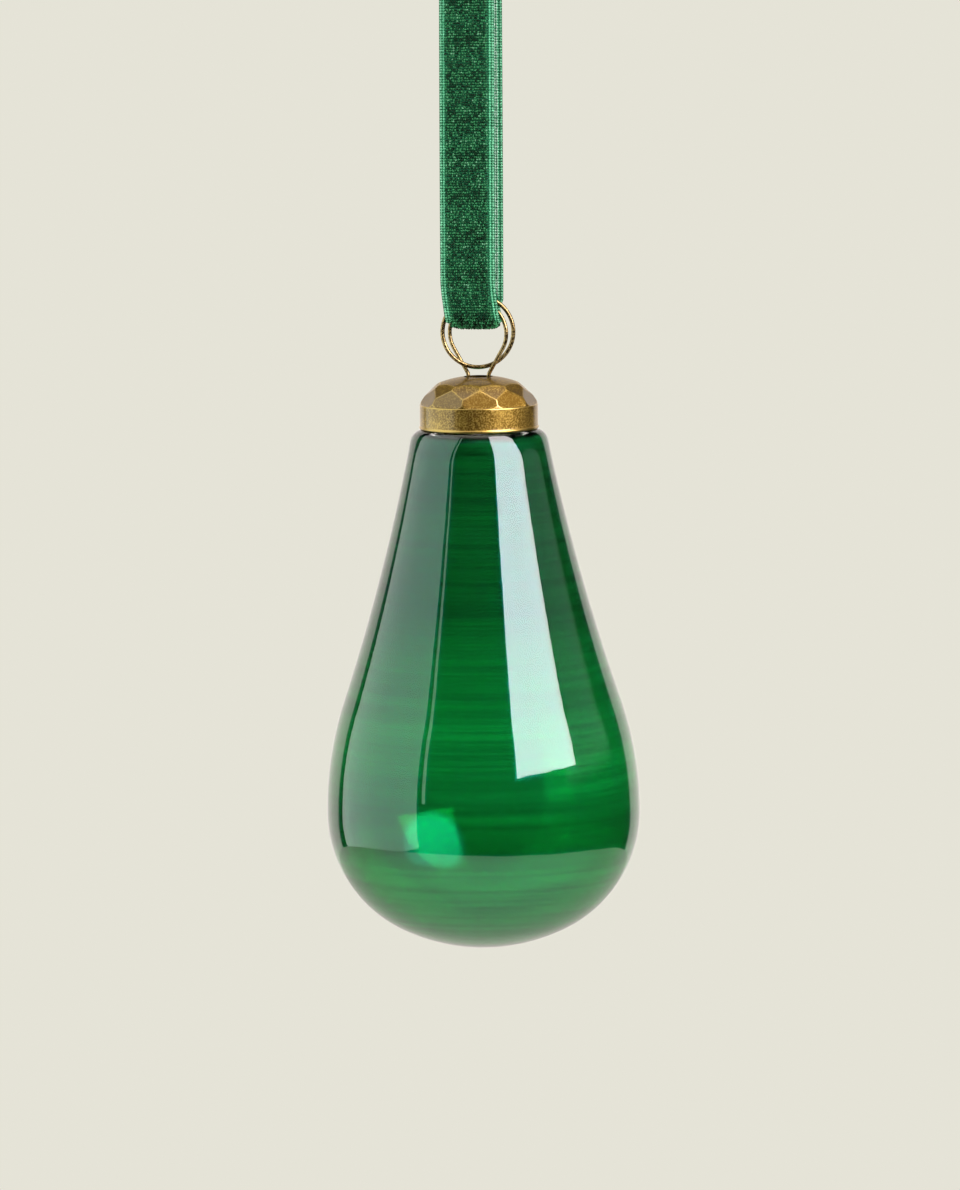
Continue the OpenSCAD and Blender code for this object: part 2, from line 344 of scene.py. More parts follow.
# %% Blown glass sizes
GLASS_FOOT = -177.9
GLASS_R, BELLY_H, BELLY_TOP_R = 28.0, 24.4, 63.0
FLANK_R, SHOULDER_R, SHOULDER_ROUND = 386.0, 12.3, 2.5
GLASS_H, NECK_R, NECK_H, GLASS_WALL = 93.0, 9.2, 3.3, 1.3
BOWL_TURN = 63


def outer_centre(p, rp, q, rq):
    """Where circles about p and q cross, on the right hand of the way from p to q."""
    way = q - p
    d = way.length
    along = (d * d + rp * rp - rq * rq) / (2 * d)
    aside = math.sqrt(rp * rp - along * along)
    u = way / d
    return p + u * along + Vector((u.y, -u.x)) * aside


def degrees_of(v):
    return math.degrees(math.atan2(v.y, v.x))


bowl = heading(BOWL_TURN)
bowl_step = (GLASS_R - BELLY_H) / (bowl.x + bowl.y - 1)
belly_r = GLASS_R - bowl_step * bowl.x
foot_r = belly_r + bowl_step
foot_c = Vector((0, foot_r))
belly_c = Vector((GLASS_R - belly_r, BELLY_H))
upper_c = Vector((GLASS_R - BELLY_TOP_R, BELLY_H))
round_c = Vector((SHOULDER_R - SHOULDER_ROUND, GLASS_H - SHOULDER_ROUND))
flank_c = outer_centre(upper_c, BELLY_TOP_R + FLANK_R, round_c, SHOULDER_ROUND + FLANK_R)
print("foot radius, mm:", round(foot_r, 2), "belly radius, mm:", round(belly_r, 2))

# %% [markdown]
# Moving every arc inward by the wall gives the inside. The neck stands under the cap and ends in a
# fire-polished lip. A closed shell with a true inside is what makes the mirror images double, as
# they do on the real one.

# %% Blown glass shape
GLASS_SIDES = 256


def pear_side(inset):
    """The pear's half outline from its foot to the top of its shoulder, in millimetres."""
    upper_turn = degrees_of(flank_c - upper_c)
    round_turn = degrees_of(flank_c - round_c)
    flank_in = degrees_of(upper_c - flank_c) % 360
    flank_out = degrees_of(round_c - flank_c) % 360
    line = [Vector((0, inset))]
    line += arc(foot_c, foot_r - inset, -90, -BOWL_TURN, 20)[1:]
    line += arc(belly_c, belly_r - inset, -BOWL_TURN, 0, 36)[1:]
    line += arc(upper_c, BELLY_TOP_R - inset, 0, upper_turn, 28)[1:]
    line += arc(flank_c, FLANK_R + inset, flank_in, flank_out, 40)[1:]
    line += arc(round_c, SHOULDER_ROUND - inset, round_turn, 90, 12)[1:]
    return line


def glass_metres(line):
    return [(p.x * MM, (GLASS_FOOT + p.y) * MM) for p in line]


lip = GLASS_WALL / 2
lip_c = Vector((NECK_R - lip, GLASS_H + NECK_H - lip))
outside = pear_side(0) + [Vector((NECK_R, GLASS_H))] + arc(lip_c, lip, 0, 180, 10)
inside = [Vector((NECK_R - GLASS_WALL, GLASS_H - GLASS_WALL))] + pear_side(GLASS_WALL)[::-1]
glass_points, glass_faces = revolve(glass_metres(outside + inside), GLASS_SIDES)
outside_count = (len(outside) + 1) * GLASS_SIDES
print("glass:", len(glass_points), "points,", len(outside), "levels outside")

# %% [markdown]
# The outside is bare glass: nothing but its gloss, with the faint waves that blowing leaves. They
# are only in the normal, a few thousandths of a millimetre deep, and make the edges of the mirror
# images tremble. On the back they are weaker, because the soft box is mirrored there at a glancing
# angle, where even small waves would tear its edge. Just under the shoulder the glass was pressed
# while it was hot, so the images bend over sooner there than its outline does. The inside is the
# same glass, but it mirrors more toward the hollow, because the coat on it is glossy too.

# %% Clear glass finishes
RIPPLES_FROM, RIPPLES_TO = -148.0, -118.0
BACK_EDGE = (-12.0, 0.0)
SOFT_FROM, SOFT_TO = -89.6, -87.2
SOFT_BEND, LIP_BEND = -0.048, 0.095


def clear_finish(name, coat_toward_hollow):
    clear = finish_nodes(name)
    waves = clear.grain(clear.place((0.05, 0.05, 0.22)), 1.0, 2.0)
    ripples = clear.grain(clear.place((0.05, 0.05, 0.9)), 1.0, 1.0)
    level = clear.level()
    rippled = level.step(RIPPLES_FROM, RIPPLES_TO) * 0.5 + 0.15
    lively = clear.along(clear.place(), aside_of_camera(0)).step(*BACK_EDGE) * 0.88 + 0.12
    wavy = clear.bump((waves * 0.6 + ripples * rippled) * lively, 0.5, 0.08)
    over = level.math("MAXIMUM", level - SOFT_FROM, 0.0)
    under_lip = level.math("MAXIMUM", level - SOFT_TO, 0.0)
    pressed = over * over * SOFT_BEND + under_lip * under_lip * under_lip * LIP_BEND
    wavy = clear.node("Bump", {}, {"Height": pressed, "Strength": 1.0, "Distance": MM, "Normal": wavy})
    hollow_side = (1 - clear.node("NewGeometry", out="Backfacing")) * coat_toward_hollow
    return clear.surface(clear.node("BsdfPrincipled", {}, {
        "Base Color": rgb(1, 1, 1), "Roughness": 0.0, "IOR": 1.5, "Transmission Weight": 1.0,
        "Coat Weight": hollow_side, "Coat IOR": 2.4, "Coat Roughness": 0.03, "Normal": wavy}))


clear_glass = clear_finish("clear_glass", 0.0)
inner_glass = clear_finish("inner_glass", 1.0)
glass_face_finish = [int(i >= outside_count) for i in range(len(glass_faces))]
glass = make_piece("blown_glass", glass_points, glass_faces, [clear_glass, inner_glass],
                   "glass", face_finish=glass_face_finish)
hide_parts("glass_body")
print("glass faces:", len(glass_faces))

# %% [markdown]
# The green is a see-through lacquer brushed round the inside while the glass was turning. Long
# level streaks come from noise that is stretched along the girth and squeezed along the height:
# broad bands, brush marks and hair lines. A few dark lines show where the brush was lifted.

# %% Lacquer streaks
BRUSH_LINES = [(-151.2, 0.45), (-152.7, 0.4), (-164.0, 0.35)]

lacquer = finish_nodes("green_lacquer")
hair = lacquer.grain(lacquer.place((0.02, 0.02, 2.6)), 1.0, 2.0)
brush = lacquer.grain(lacquer.place((0.014, 0.014, 1.0)), 1.0, 2.0)
bands = lacquer.grain(lacquer.place((0.008, 0.008, 0.13)), 1.0, 1.0)
streaks = hair * 0.45 + brush * 0.4 + bands * 0.15
height = lacquer.level()


def brush_line(at, half):
    """One dark level line where the brush was lifted."""
    gap = height - at
    away = gap.math("ABSOLUTE", gap)
    return (1 - away.step(half * 0.4, half)) * brush.step(0.35, 0.6)


lines = sum(brush_line(at, half) for at, half in BRUSH_LINES)
print("brush lines:", len(BRUSH_LINES))

# %% [markdown]
# Where the lacquer lies thicker it lets less light through, so the streaks darken it. The coat is
# also darker toward the neck and in a belt under the middle of the belly. A paler mint spot in that
# belt is painted reflection: it tints the image of the soft box seen through the hollow there. The
# lacquer is a film of its own, a few hundredths of a millimetre thick, up to the top of the shoulder.

# %% Green lacquer
FILM_OUT, FILM_IN = GLASS_WALL - 0.06, GLASS_WALL - 0.02
BELT_FOOT, BELT_TOP = (-159.6, -157.2), (-160.0, -144.0)
PAINTED_MINT_SPOT = (-3.9, -26.0, -155.4)
SPOT_EDGE, SPOT_FOOT = (4.4, 6.4), (-160.2, -158.4)
NECK_FADE = (-148.0, -110.0)

thick = streaks.step(0.38, 0.62) * 0.85
belly_coat = lacquer.blend(thick, rgb(0.016, 0.57, 0.175), rgb(0.010, 0.37, 0.11))
neck_coat = lacquer.blend(thick, rgb(0.016, 0.31, 0.092), rgb(0.005, 0.085, 0.026))
low_down = (1 - height.step(*BELT_TOP)) * height.step(*BELT_FOOT)
belly_coat = lacquer.blend(low_down * 0.75 + lines * 0.4, belly_coat, rgb(0.006, 0.18, 0.03))
# Painted reflection: a paler mint spot on the front of the belt tints the soft box's image seen there.
from_spot = lacquer.node("VectorMath", {"operation": "DISTANCE"},
                         {0: lacquer.place(), 1: PAINTED_MINT_SPOT}, out="Value")
painted_mint_share = (1 - from_spot.step(*SPOT_EDGE)) * height.step(*SPOT_FOOT)
belly_coat = lacquer.blend(painted_mint_share, belly_coat, rgb(0.026, 0.64, 0.47))
near_neck = height.step(*NECK_FADE) * 0.9
green_lacquer = lacquer.surface(lacquer.node("BsdfPrincipled", {}, {
    "Base Color": lacquer.blend(near_neck, belly_coat, neck_coat), "Roughness": 0.06, "IOR": 1.5,
    "Transmission Weight": 0.88, "Specular Tint": rgb(0.02, 0.27, 0.40),
    "Normal": lacquer.bump(streaks, 0.2, 0.03)}))
film_line = glass_metres(pear_side(FILM_OUT) + pear_side(FILM_IN)[::-1])
film_points, film_faces = revolve(film_line, GLASS_SIDES)
make_piece("lacquer_coat", film_points, film_faces, [green_lacquer], "glass")
print("lacquer:", len(film_faces), "faces")

# %% [markdown]
# The cap is stamped from thin brass sheet: a plain band with a curled lip, a crisp ridge, and a
# dome with two staggered rows of ten facets round a hole for the wire. The facets are planes that
# cut into the round dome, so each point of a fine round grid is pressed in until it lies under
# every plane. A soft choice between the planes leaves rounded ridges, and how close two planes are
# tells where the ridges are, which is where hands rub the brass bright.

# %% Cap facets
RIDGE_Z, CAP_R, BAND_H, DOME_H = -80.75, 10.5, 4.1, 5.3
CAP_WALL, LIP_R, HOLE_R = 0.45, 0.28, 2.602
DOME_SHOULDER_R, LAND_STEP = 4.0, 0.12
FACETS, CAP_TURN = 10, 30
FACET_ROWS = [(0, 32, 0.7), (180 / FACETS, 50, 0.55)]
RIDGE_SOFTNESS, LEAST_SLANT = 0.035, 0.2
RUB_MOST, RUB_REACH = 0.85, 0.032

dome_mid = CAP_R - LAND_STEP - DOME_SHOULDER_R
crown_gain = DOME_H - DOME_SHOULDER_R
crown_drop = (dome_mid ** 2 - crown_gain ** 2) / (2 * crown_gain)
crown_r = crown_drop + DOME_H
crown_turn = math.degrees(math.atan2(crown_drop, dome_mid))


def dome_line(inset, steps_crown, steps_shoulder):
    """The dome's half outline from the hole down to the ridge, with each point's outward heading."""
    hole_turn = math.degrees(math.acos(HOLE_R / (crown_r - inset)))
    line = []
    for i in range(steps_crown + 1):
        a = hole_turn + (crown_turn - hole_turn) * i / steps_crown
        line.append((Vector((0, -crown_drop)) + heading(a) * (crown_r - inset), heading(a)))
    for i in range(1, steps_shoulder + 1):
        a = crown_turn * (1 - i / steps_shoulder)
        line.append((Vector((dome_mid, 0)) + heading(a) * (DOME_SHOULDER_R - inset), heading(a)))
    return line


def press(point, out, inset):
    """How deep the facets press a point in along its outward heading, and how far it is rubbed."""
    depths = [0.0]
    for turn, tilt, depth in FACET_ROWS:
        face = heading(tilt)
        limit = dome_mid * face.x + DOME_SHOULDER_R - depth - inset
        around = math.degrees(math.atan2(point.y, point.x)) - CAP_TURN - turn
        nearest = round(around * FACETS / 360) * 360 / FACETS
        for k in (-1, 0, 1):
            side = math.radians(nearest + k * 360 / FACETS + CAP_TURN + turn)
            normal = Vector((math.cos(side) * face.x, math.sin(side) * face.x, face.y))
            depths.append((point.dot(normal) - limit) / max(out.dot(normal), LEAST_SLANT))
    depths.sort(reverse=True)
    blunt = sum(math.exp((d - depths[0]) / RIDGE_SOFTNESS) for d in depths)
    rubbed = RUB_MOST * math.exp(-(depths[0] - depths[1]) / RUB_REACH)
    return depths[0] + RIDGE_SOFTNESS * math.log(blunt), rubbed


print("facets:", FACETS * len(FACET_ROWS))

# %% [markdown]
# The sheet of the cap is one closed ring of rows: down the outside of the dome, over the ridge,
# down the band, round the curled lip, up the inside of the band and under the dome back to the
# hole. Each row is a full turn of points, and each point knows how far it is rubbed.

# %% Cap shape
CAP_SIDES = 480
OUTER_STEPS, INNER_STEPS = (44, 46), (30, 30)
RIDGE_LINE = [(-0.14, 0.26, 0.4), (-0.05, 0.24, 1.0), (0.0, 0.16, 1.0)]
BAND_LEVELS, BAND_WEAR = (0.0, -0.6, -1.4, -2.2, -3.0, -3.5), 0.2
BAND_INSIDE = (-3.0, -1.5, -0.3)
LIP_OUT = 0.16


def stamped_skin(inset, steps_crown, steps_shoulder):
    """Rows of (point, wear) from the hole to the ridge."""
    rows = []
    for flat, out_flat in dome_line(inset, steps_crown, steps_shoulder):
        row = []
        for i in range(CAP_SIDES):
            turn = heading(360 * i / CAP_SIDES)
            point = Vector((flat.x * turn.x, flat.x * turn.y, flat.y))
            out = Vector((out_flat.x * turn.x, out_flat.x * turn.y, out_flat.y))
            depth, wear = press(point, out, inset)
            row.append((point - out * depth, wear))
        rows.append(row)
    return rows


def round_row(radius, z, wear):
    turns = [heading(360 * i / CAP_SIDES) for i in range(CAP_SIDES)]
    return [(Vector((radius * turn.x, radius * turn.y, z)), wear) for turn in turns]


lip_middle = Vector((CAP_R - LIP_R + LIP_OUT, -BAND_H + LIP_R))
# The lowest rows of each skin give way to the ridge and to the inside of the band.
cap_rows = stamped_skin(0, *OUTER_STEPS)[:-3]
cap_rows += [round_row(CAP_R + step, z, wear) for step, z, wear in RIDGE_LINE]
cap_rows += [round_row(CAP_R, z, BAND_WEAR) for z in BAND_LEVELS]
cap_rows += [round_row(p.x, p.y, 1.0) for p in arc(lip_middle, LIP_R, 60, -180, 12)]
outer_rows = len(cap_rows)
cap_rows += [round_row(CAP_R - CAP_WALL, z, 0.0) for z in BAND_INSIDE]
cap_rows += stamped_skin(CAP_WALL, *INNER_STEPS)[::-1][2:]

cap_points = [(p + Vector((0, 0, RIDGE_Z))) * MM for row in cap_rows for p, wear in row]
cap_wear = [wear for row in cap_rows for p, wear in row]
cap_faces = []
for a in range(len(cap_rows)):
    b = (a + 1) % len(cap_rows)
    for i in range(CAP_SIDES):
        j = (i + 1) % CAP_SIDES
        cap_faces.append((a * CAP_SIDES + i, b * CAP_SIDES + i, b * CAP_SIDES + j, a * CAP_SIDES + j))
print("cap:", len(cap_rows), "rows of", CAP_SIDES)

# %% [markdown]
# Old brass is bright where it is rubbed and brown where it isn't. Its skin is also full of fine
# specks, which break its mirror up, so both the colour and the gloss follow a fine grain. A thin
# clear varnish lies over it, and mirrors the pale panel on the left without the metal's colour. On
# the crown about half of it is worn off, and between their ridges the lower facets stayed darker.

# %% Brass finishes
CROWN_EDGE, LOWER_ROW_EDGE = (RIDGE_Z + 2.4, RIDGE_Z + 3.8), (RIDGE_Z + 0.3, RIDGE_Z + 0.8)


def brass_finish(name, rubbed, dull, gloss, rub_share, speck_mm):
    brass = finish_nodes(name)
    place = brass.place()
    level = brass.level()
    crown = level.step(*CROWN_EDGE)
    lower_row = level.step(*LOWER_ROW_EDGE) * (1 - crown)
    specks = brass.grain(place, 1 / speck_mm, 2.0)
    clouds = brass.grain(place, 0.35, 3.0)
    rub = brass.attribute("wear")
    shine = rub * rub_share + specks.step(0.42, 0.66) * 0.6
    bright = (shine + clouds.step(0.35, 0.7) * 0.25).step(0.05, 1.05)
    colour = brass.blend(bright * (1 - 0.6 * lower_row * (1 - rub)), dull, rubbed)
    rough = gloss + specks.step(0.3, 0.7) * 0.15 - rub * (0.15 * rub_share)
    return brass.surface(brass.node("BsdfPrincipled", {}, {
        "Base Color": colour, "Metallic": 1.0, "Roughness": rough,
        "Specular Tint": rgb(0.86, 0.74, 0.52),
        "Coat Weight": 0.85 - 0.45 * crown, "Coat Roughness": 0.18, "Coat IOR": 1.45,
        "Normal": brass.bump(specks, 0.5, 0.04)}))


cap_brass = brass_finish("cap_brass", rgb(0.37, 0.245, 0.052), rgb(0.10, 0.054, 0.0066), 0.42, 1.0, 0.27)
wire_brass = brass_finish("wire_brass", rgb(0.46, 0.34, 0.135), rgb(0.13, 0.088, 0.03), 0.24, 0.0, 0.4)
cap_inside = brass_finish("cap_inside", rgb(0.10, 0.06, 0.012), rgb(0.03, 0.018, 0.004), 0.6, 0.0, 0.34)
cap_face_finish = [int(i >= (outer_rows - 1) * CAP_SIDES) for i in range(len(cap_faces))]
cap = make_piece("stamped_cap", cap_points, cap_faces, [cap_brass, cap_inside],
                 "cap", face_finish=cap_face_finish)
point_values(cap, "wear", cap_wear)
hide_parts("cap")
for name in ("hanging_ring", "hanger_wire"):
    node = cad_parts[name]
    node.data.materials.clear()
    node.data.materials.append(wire_brass)
print("brass on cap, ring and wire")

# %% [markdown]
# The ribbon is one strip of velvet with its ends lapped and sewn over the arch. It is laid out
# along one line: over the arch, down the front, round the fold in the wire, up the back, and onto
# its own first end. The three bends give the line, and it is then walked in equal steps, four to
# each row of the weave.

# %% Ribbon line
ARCH_R, FOLD_R, RIBBON_T, RIBBON_W = 3.5, 2.1, 1.0, 10.0
ARCH_Z, FOLD_Z = -3.5, -63.9
LAP_START, LAP_LEN, LAP_CLIMB = 4.0, 11.0, 4.5
BEND_STEP, FINE_STEP = 0.05, 0.06
ROW, ROW_STEPS = 0.48, 4
lean = math.degrees(math.asin((ARCH_R - FOLD_R) / (ARCH_Z - FOLD_Z)))
arch_mid, fold_mid = ARCH_R + RIBBON_T / 2, FOLD_R + RIBBON_T / 2
lap_turn = math.degrees(LAP_LEN / (ARCH_R + 1.5 * RIBBON_T))


def ease(value, low, high):
    """A smooth climb from 0 at low to 1 at high."""
    t = min(max((value - low) / (high - low), 0.0), 1.0)
    return t * t * (3 - 2 * t)


def laid_line():
    """Fine points (y, z) with outward headings, from the hidden end to the lapped end."""
    arch_c, fold_c = Vector((0, ARCH_Z)), Vector((0, FOLD_Z))
    bends = [(arch_c, arch_mid, LAP_START, 180 + lean),
             (fold_c, fold_mid, 180 + lean, 360 - lean),
             (arch_c, arch_mid, 360 - lean, 360 + LAP_START + lap_turn)]
    fine = []
    for centre, radius, start, stop in bends:
        steps = max(8, int(math.radians(stop - start) * radius / BEND_STEP))
        for i in range(steps + 1):
            out = heading(start + (stop - start) * i / steps)
            spot = centre + out * radius
            if fine:
                last, last_out = fine[-1]
                count = int((spot - last).length / FINE_STEP)
                for k in range(1, count):
                    fine.append((last.lerp(spot, k / count), last_out.lerp(out, k / count).normalized()))
            fine.append((spot, out))
    return fine


def lapped(fine):
    """The same line with its end lifted onto its own first end."""
    total = sum((b[0] - a[0]).length for a, b in zip(fine, fine[1:]))
    lap_from = total - math.radians(lap_turn) * arch_mid
    line, way = [], 0.0
    for i, (p, out) in enumerate(fine):
        way += (p - fine[i - 1][0]).length if i else 0.0
        line.append((p + out * RIBBON_T * ease(way, lap_from - LAP_CLIMB, lap_from), out))
    return line


def even_steps(line, step):
    """The line in equal steps: point, outward heading and the way along."""
    ways = [0.0]
    for a, b in zip(line, line[1:]):
        ways.append(ways[-1] + (b[0] - a[0]).length)
    count = round(ways[-1] / step)
    even, k = [], 0
    for i in range(count + 1):
        s = ways[-1] * i / count
        while k < len(ways) - 2 and ways[k + 1] < s:
            k += 1
        t = (s - ways[k]) / (ways[k + 1] - ways[k])
        (p, out), (q, next_out) = line[k], line[k + 1]
        even.append((p.lerp(q, t), out.lerp(next_out, t).normalized(), s))
    return even


line = even_steps(lapped(laid_line()), ROW / ROW_STEPS)
print("ribbon length, mm:", round(line[-1][2], 1))

# %% [markdown]
# Everything on the ribbon, ground, pile, selvage and stitches, is placed by the way along this
# line, the way across and the height over the middle of the cloth. One function turns these into a
# point. The strands hang a little to one side, as a ribbon does, and at the fold the edges are
# gathered, so that they pass through the eye and clear of both wires.

# %% Places on the ribbon
TOP_ASIDE, ASIDE_SLOPE = -0.56, 0.0074
TOP_TURN, TURN_SLOPE = -0.011, -0.00196
FOLD_ASIDE, ASIDE_LOW, FRONT_HIGH, BACK_HIGH = -0.3, -68.5, -58.0, -62.0
STRAND_HALF, FOLD_HALF, BACK_GATHER = 4.92, 4.3, 0.25
GATHER_FROM, GATHER_TO = 62.0, 64.0
UNDER_FOLD, BESIDE_FOLD, BACK_PINCH = (0.7, 0.98), (0.3, 0.7), (0.0, 0.8)
FRONT_TO_BACK, BACK_EASE, BACK_LIFT = (-1.5, 1.5), (-1.0, 1.6), 2.0
FLARE, DRAWN_UP, FOLD_REACH, EDGE_POWER = 0.95, 0.45, 4.0, 5


def half_width(p, out):
    """Half the ribbon's width: it is gathered where it passes through the wire eye."""
    gathered = ease(-p.y, GATHER_FROM, GATHER_TO) if p.x > 0 else ease(-out.y, *UNDER_FOLD)
    return STRAND_HALF + (FOLD_HALF - STRAND_HALF - BACK_GATHER * ease(p.x, *BACK_PINCH)) * gathered


def near_fold(z):
    """1 at the bottom of the fold, 0 from a few millimetres above it."""
    return max(0.0, 1 - (z - (FOLD_Z - fold_mid)) / FOLD_REACH)


def strand_aside(p):
    """How far the strands hang to one side above the fold, with the loop turned a little."""
    hang = TOP_ASIDE + ASIDE_SLOPE * p.y + (TOP_TURN + TURN_SLOPE * p.y) * p.x
    high = FRONT_HIGH + (BACK_HIGH - FRONT_HIGH) * ease(p.x, *FRONT_TO_BACK)
    back = ease(p.x, *BACK_EASE)
    low = FOLD_ASIDE * (1 - back)
    return low + (hang - low) * ease(p.y, ASIDE_LOW + BACK_LIFT * back, high)


def on_ribbon(spot, across, height):
    """A point by a place on the line, the share of the half width and the height, in metres.

    Beside the wires the edges are pushed outward, and under them they are drawn up.
    """
    p, out = spot[:2]
    flare = FLARE * ease(abs(out.x), *BESIDE_FOLD) - DRAWN_UP
    flat = p + out * (height + flare * near_fold(p.y) * abs(across) ** EDGE_POWER)
    return Vector((across * half_width(p, out) + strand_aside(p), flat.x, flat.y)) * MM


lowest = min(line, key=lambda spot: spot[0].y)
print("ribbon half width at the fold, mm:", round(half_width(lowest[0], lowest[1]), 2))

# %% [markdown]
# The ground of the ribbon is a woven strip with a bare selvage along each edge. Its face is hidden
# by the pile, but its back shows inside the loop: a paler, flat weave with a level rib for every
# row of tufts.

# %% Ribbon ground
GROUND_LOW, GROUND_TOP = -0.5, -0.12
SELVAGE_FROM, SELVAGE_LOW, SELVAGE_TOP = 0.765, -0.37, -0.25
ACROSS = [-1 + 2 * i / 30 for i in range(31)]


def strip(spots, across):
    """A closed strip: the outside face, then the inside face, joined round the edges."""
    ring = [(a, SELVAGE_TOP if abs(a) > SELVAGE_FROM else GROUND_TOP) for a in across]
    ring += [(a, SELVAGE_LOW if abs(a) > SELVAGE_FROM else GROUND_LOW) for a in reversed(across)]
    points = [on_ribbon(spot, a, h) for spot in spots for a, h in ring]
    n = len(ring)
    faces = [tuple(range(n))[::-1], tuple(range(len(points) - n, len(points)))]
    for r in range(len(spots) - 1):
        for i in range(n):
            j = (i + 1) % n
            faces.append((r * n + i, r * n + j, (r + 1) * n + j, (r + 1) * n + i))
    return points, faces


weave = finish_nodes("ribbon_weave")
ribs = weave.node("TexWave", {"wave_type": "BANDS", "bands_direction": "Z"},
                  {"Vector": weave.place(), "Scale": 0.7})
threads = weave.grain(weave.place((4.0, 1.5, 1.5)), 1.0, 2.0)
woven = ribs * 0.5 + threads * 0.5
ribbon_weave = weave.surface(weave.node("BsdfPrincipled", {}, {
    "Base Color": weave.blend(woven.step(0.25, 0.75), rgb(0.006, 0.11, 0.045), rgb(0.03, 0.30, 0.14)),
    "Roughness": 0.7, "Specular IOR Level": 0.15,
    "Normal": weave.bump(woven, 0.5, 0.08)}))
ground_points, ground_faces = strip(line[::2], ACROSS)
ground = make_piece("ribbon_ground", ground_points, ground_faces, [ribbon_weave],
                    "ribbon", corner=60)
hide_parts("velvet_ribbon")
print("ground:", len(ground_faces), "faces")

# %% [markdown]
# Velvet is dark where it is seen end-on and bright where it turns away, because one looks down
# between the tufts in the first case and at their lit sides in the second. A sheen colour only
# imitates this, so here the pile is real: rows of small tufts, one row for each rib of the ground.
# A seeded draw leans them. Round the fold they stand taller and closer to the edges.

# %% Velvet tufts
PILE_TOP, PILE_ROOT, PILE_UNEVEN = 0.5, 0.05, 0.16
TUFT_GAP, TUFT_WIDE, TUFT_DEEP, TUFT_POINTS = 0.34, 0.175, 0.17, 9
PILE_EDGE, FOLD_PILE_EDGE, FOLD_PILE_RISE = 0.76, 0.92, 0.35
FOLD_WIDER, FOLD_DEEPER, FOLD_EVEN, FOLD_PAINTED_SHADE = 0.03, 0.13, 0.7, 0.2
LEAN_ASIDE, LEAN_BACK, LEAN_ALONG = 0.09, -0.04, 0.08
FOOT_SIZE, SWELL_AT = 0.8, 0.8
BY_CHANCE, BY_NAP = 0.62, 0.38
SIDEWAYS = Vector((1, 0, 0))
draw = random.Random(7)
pile_points, pile_faces, pile_shade = [], [], []


def add_tuft(row, ahead, across, fold_share):
    """One tuft with four sides that swells toward its pointed tip and leans a little."""
    lean_x, lean_s = draw.gauss(0, LEAN_ASIDE), draw.gauss(LEAN_BACK, LEAN_ALONG)
    uneven = draw.uniform(-PILE_UNEVEN, 0.0) * (1 - FOLD_EVEN * fold_share)
    tall = PILE_TOP + uneven + FOLD_PILE_RISE * fold_share
    base = on_ribbon(row, across, GROUND_TOP - PILE_ROOT)
    tip = on_ribbon(row, across, tall)
    forward = (on_ribbon(ahead, across, tall) - tip).normalized()
    tip += SIDEWAYS * lean_x * MM + forward * lean_s * MM
    wide = (TUFT_WIDE + FOLD_WIDER * fold_share) * MM
    deep = (TUFT_DEEP + FOLD_DEEPER * fold_share) * MM
    first = len(pile_points)
    for centre, size in ((base, FOOT_SIZE), (base.lerp(tip, SWELL_AT), 1.0)):
        for sx, sf in ((-1, 0), (0, -1), (1, 0), (0, 1)):
            pile_points.append(centre + SIDEWAYS * sx * wide * size + forward * sf * deep * size)
    pile_points.append(tip)
    for i in range(4):
        j = (i + 1) % 4
        pile_faces.append((first + i, first + j, first + 4 + j, first + 4 + i))
        pile_faces.append((first + 4 + i, first + 4 + j, first + 8))


for r in range(ROW_STEPS // 2, len(line) - 3, ROW_STEPS):
    p, out, way = line[r]
    fold_share = ease(-out.y, 0.3, 0.95)
    edge = PILE_EDGE + (FOLD_PILE_EDGE - PILE_EDGE) * fold_share
    columns = round(2 * edge * half_width(p, out) / TUFT_GAP)
    for c in range(columns):
        across = edge * (2 * (c + 0.5) / columns - 1)
        across += draw.uniform(-0.3, 0.3) * TUFT_GAP / 5
        add_tuft(line[r], line[r + 1], across, fold_share)
        nap = 0.5 + 0.9 * noise.noise(Vector((across * 3.2, way * 0.55, 3.0)))
        # Toward the bottom of the fold every tuft is darkened: painted shade where the cloth turns under.
        painted_fold_shade = 1 - FOLD_PAINTED_SHADE * near_fold(p.y)
        pile_shade += [(BY_CHANCE * draw.random() + BY_NAP * nap) * painted_fold_shade] * TUFT_POINTS
print("pile:", len(pile_shade) // TUFT_POINTS, "tufts")

# %% [markdown]
# Every tuft has a shade of its own, more by chance than by the nap that a hand left in the pile, and
# toward the bottom of the fold it is darkened as painted shade. The finish turns it into a colour
# from near black to green, and gives a few of the tufts a paler colour as a painted glint.

# %% Velvet pile
tufts = finish_nodes("velvet_pile")
shade = tufts.attribute("shade")
tuft_colour = tufts.blend(shade.step(0.25, 0.72), rgb(0.004, 0.03, 0.010), rgb(0.06, 0.34, 0.13))
# A few tufts turn pale: a painted glint of light on the fibre tips.
tuft_colour = tufts.blend(shade.step(0.78, 0.86), tuft_colour, rgb(0.20, 0.54, 0.30))
velvet_pile = tufts.surface(tufts.node("BsdfPrincipled", {}, {
    "Base Color": tuft_colour, "Roughness": 0.6, "Specular IOR Level": 0.12}))
pile = make_piece("ribbon_pile", pile_points, pile_faces, [velvet_pile], "ribbon", corner=180)
point_values(pile, "shade", pile_shade)
print("pile faces:", len(pile_faces))

# %% [markdown]
# Along each edge runs a pale line that holds the last warp threads, and outside it the edge cord.
# The inside of the loop shows the other side of the weave, where the pale line is a chain of small
# loops. Each is a fine tube that swells once for every row, set in the thin edge of the ground.

# %% Beaded cords
CORD_SIDES = 8
WIRES_LOW, WIRES_HIGH = -63.0, -60.0
SINK, SLIM = 0.2, 0.8


